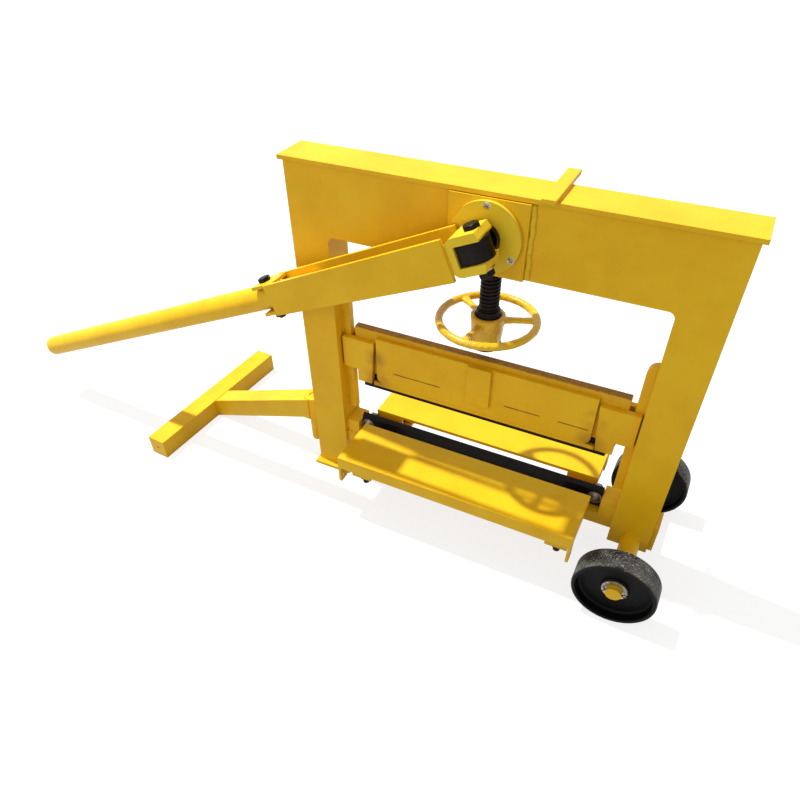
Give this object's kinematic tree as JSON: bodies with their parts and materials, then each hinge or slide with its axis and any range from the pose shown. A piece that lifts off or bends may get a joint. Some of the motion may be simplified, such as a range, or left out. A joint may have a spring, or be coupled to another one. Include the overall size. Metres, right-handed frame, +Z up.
{
  "type": "masonry block splitter",
  "caption": "Welded portal block splitter with a lever-worked eccentric press, guided upper blade, fixed lower blade, sprung tables, swinging T-foot and wheels.",
  "frame": {"origin": "middle of the portal at floor level", "axes": "+X along the blades towards the wheels, +Y from the lever's side to the rear, +Z up"},
  "size_m": [1.3444, 0.3576, 0.606],
  "materials": {
    "yellow_paint": "semi-gloss paint, chipped to bare steel at the edges",
    "black_steel": "black oxide, oiled",
    "blade_steel": "blackened, ground edge",
    "zinc": "zinc plated, dull",
    "bronze": "machined",
    "wheel_iron": "black, dusty on the tread"
  },
  "bodies": {
    "frame": {"portal_front_plate": "yellow_paint", "portal_rear_plate": "yellow_paint", "portal_cover": "yellow_paint", "end_walls": "yellow_paint", "inner_walls": "yellow_paint", "guide_rails": "yellow_paint", "sole_plate": "yellow_paint", "top_cross_bar": "yellow_paint", "bearing_plate_front": "yellow_paint", "bearing_plate_rear": "yellow_paint", "bearing_flange": "yellow_paint", "shaft_bushes": "bronze", "flange_screws": "zinc", "block_guides": "yellow_paint", "base_bar": "yellow_paint", "blade_seat": "yellow_paint", "lower_blade": "blade_steel", "lower_blade_bolts": "zinc", "spring_arms": "yellow_paint", "axle": "yellow_paint", "axle_sleeves": "yellow_paint", "axle_washers": "zinc", "split_pins": "zinc", "axle_side_plate": "yellow_paint", "hinge_barrel": "yellow_paint", "hinge_pin": "yellow_paint", "front_table_springs": "black_steel", "rear_table_springs": "black_steel"},
    "lever": {"eccentric_shaft": "black_steel", "shaft_collar": "black_steel", "lever_head": "black_steel", "lever_yoke": "yellow_paint", "arm_front_plate": "yellow_paint", "arm_rear_plate": "yellow_paint", "handle_straps": "yellow_paint", "yoke_bolt": "black_steel", "handle_tube": "yellow_paint", "handle_plug": "yellow_paint", "handle_bolt": "black_steel"},
    "ram": {"thrust_block": "black_steel", "press_screw": "black_steel"},
    "pad": {"pressure_pad": "black_steel"},
    "adjuster": {"hand_wheel": "yellow_paint", "wheel_nut": "black_steel"},
    "upper_beam": {"beam_plate": "yellow_paint", "beam_panels": "yellow_paint", "blade_clamps": "yellow_paint", "beam_tongues": "yellow_paint", "centre_straps": "yellow_paint", "upper_blade": "blade_steel"},
    "front_table_set": {"front_table": "yellow_paint", "front_table_pins": "black_steel"},
    "rear_table_set": {"rear_table": "yellow_paint", "rear_table_pins": "black_steel"},
    "t_foot": {"foot_frame": "yellow_paint", "foot_caps": "yellow_paint"},
    "wheel_front": {"front_wheel": "wheel_iron"},
    "wheel_rear": {"rear_wheel": "wheel_iron"}
  },
  "joints": [
    {"name": "lever_hinge", "type": "hinge", "parent": "frame", "child": "lever", "pos_m": [0, 0, 0.541], "axis": [0, 1, 0], "range_deg": [0, 75]},
    {"name": "ram_slide", "type": "slide", "parent": "frame", "child": "ram", "axis": [0, 0, 1], "range_m": [0, 0.0123]},
    {"name": "pad_feed", "type": "slide", "parent": "ram", "child": "pad", "axis": [0, 0, 1], "range_m": [-0.0241, 0.0661]},
    {"name": "hand_wheel_turn", "type": "hinge", "parent": "pad", "child": "adjuster", "pos_m": [0, 0, 0.385], "axis": [0, 0, 1], "range_deg": [-1440, 3960]},
    {"name": "beam_slide", "type": "slide", "parent": "frame", "child": "upper_beam", "axis": [0, 0, 1], "range_m": [-0.064, 0]},
    {"name": "front_table_slide", "type": "slide", "parent": "frame", "child": "front_table_set", "axis": [0, 0, 1], "range_m": [-0.008, 0], "stiffness_N_per_m": 8000, "springref_m": 0.006, "deforming": ["front_table_springs"]},
    {"name": "rear_table_slide", "type": "slide", "parent": "frame", "child": "rear_table_set", "axis": [0, 0, 1], "range_m": [-0.008, 0], "stiffness_N_per_m": 8000, "springref_m": 0.006, "deforming": ["rear_table_springs"]},
    {"name": "t_foot_swing", "type": "hinge", "parent": "frame", "child": "t_foot", "pos_m": [-0.341, 0, 0.1], "axis": [0, 0, 1], "range_deg": [-60, 60]},
    {"name": "front_wheel_spin", "type": "hinge", "parent": "frame", "child": "wheel_front", "pos_m": [0.292, -0.131, 0.066], "axis": [0, 1, 0], "continuous": true},
    {"name": "rear_wheel_spin", "type": "hinge", "parent": "frame", "child": "wheel_rear", "pos_m": [0.292, 0.131, 0.066], "axis": [0, 1, 0], "continuous": true}
  ],
  "couplings": [
    {"joint": "ram_slide", "follows": "lever_hinge", "m_per_rad": 0.0093012},
    {"joint": "pad_feed", "follows": "hand_wheel_turn", "m_per_rad": 0.00095493}
  ]
}
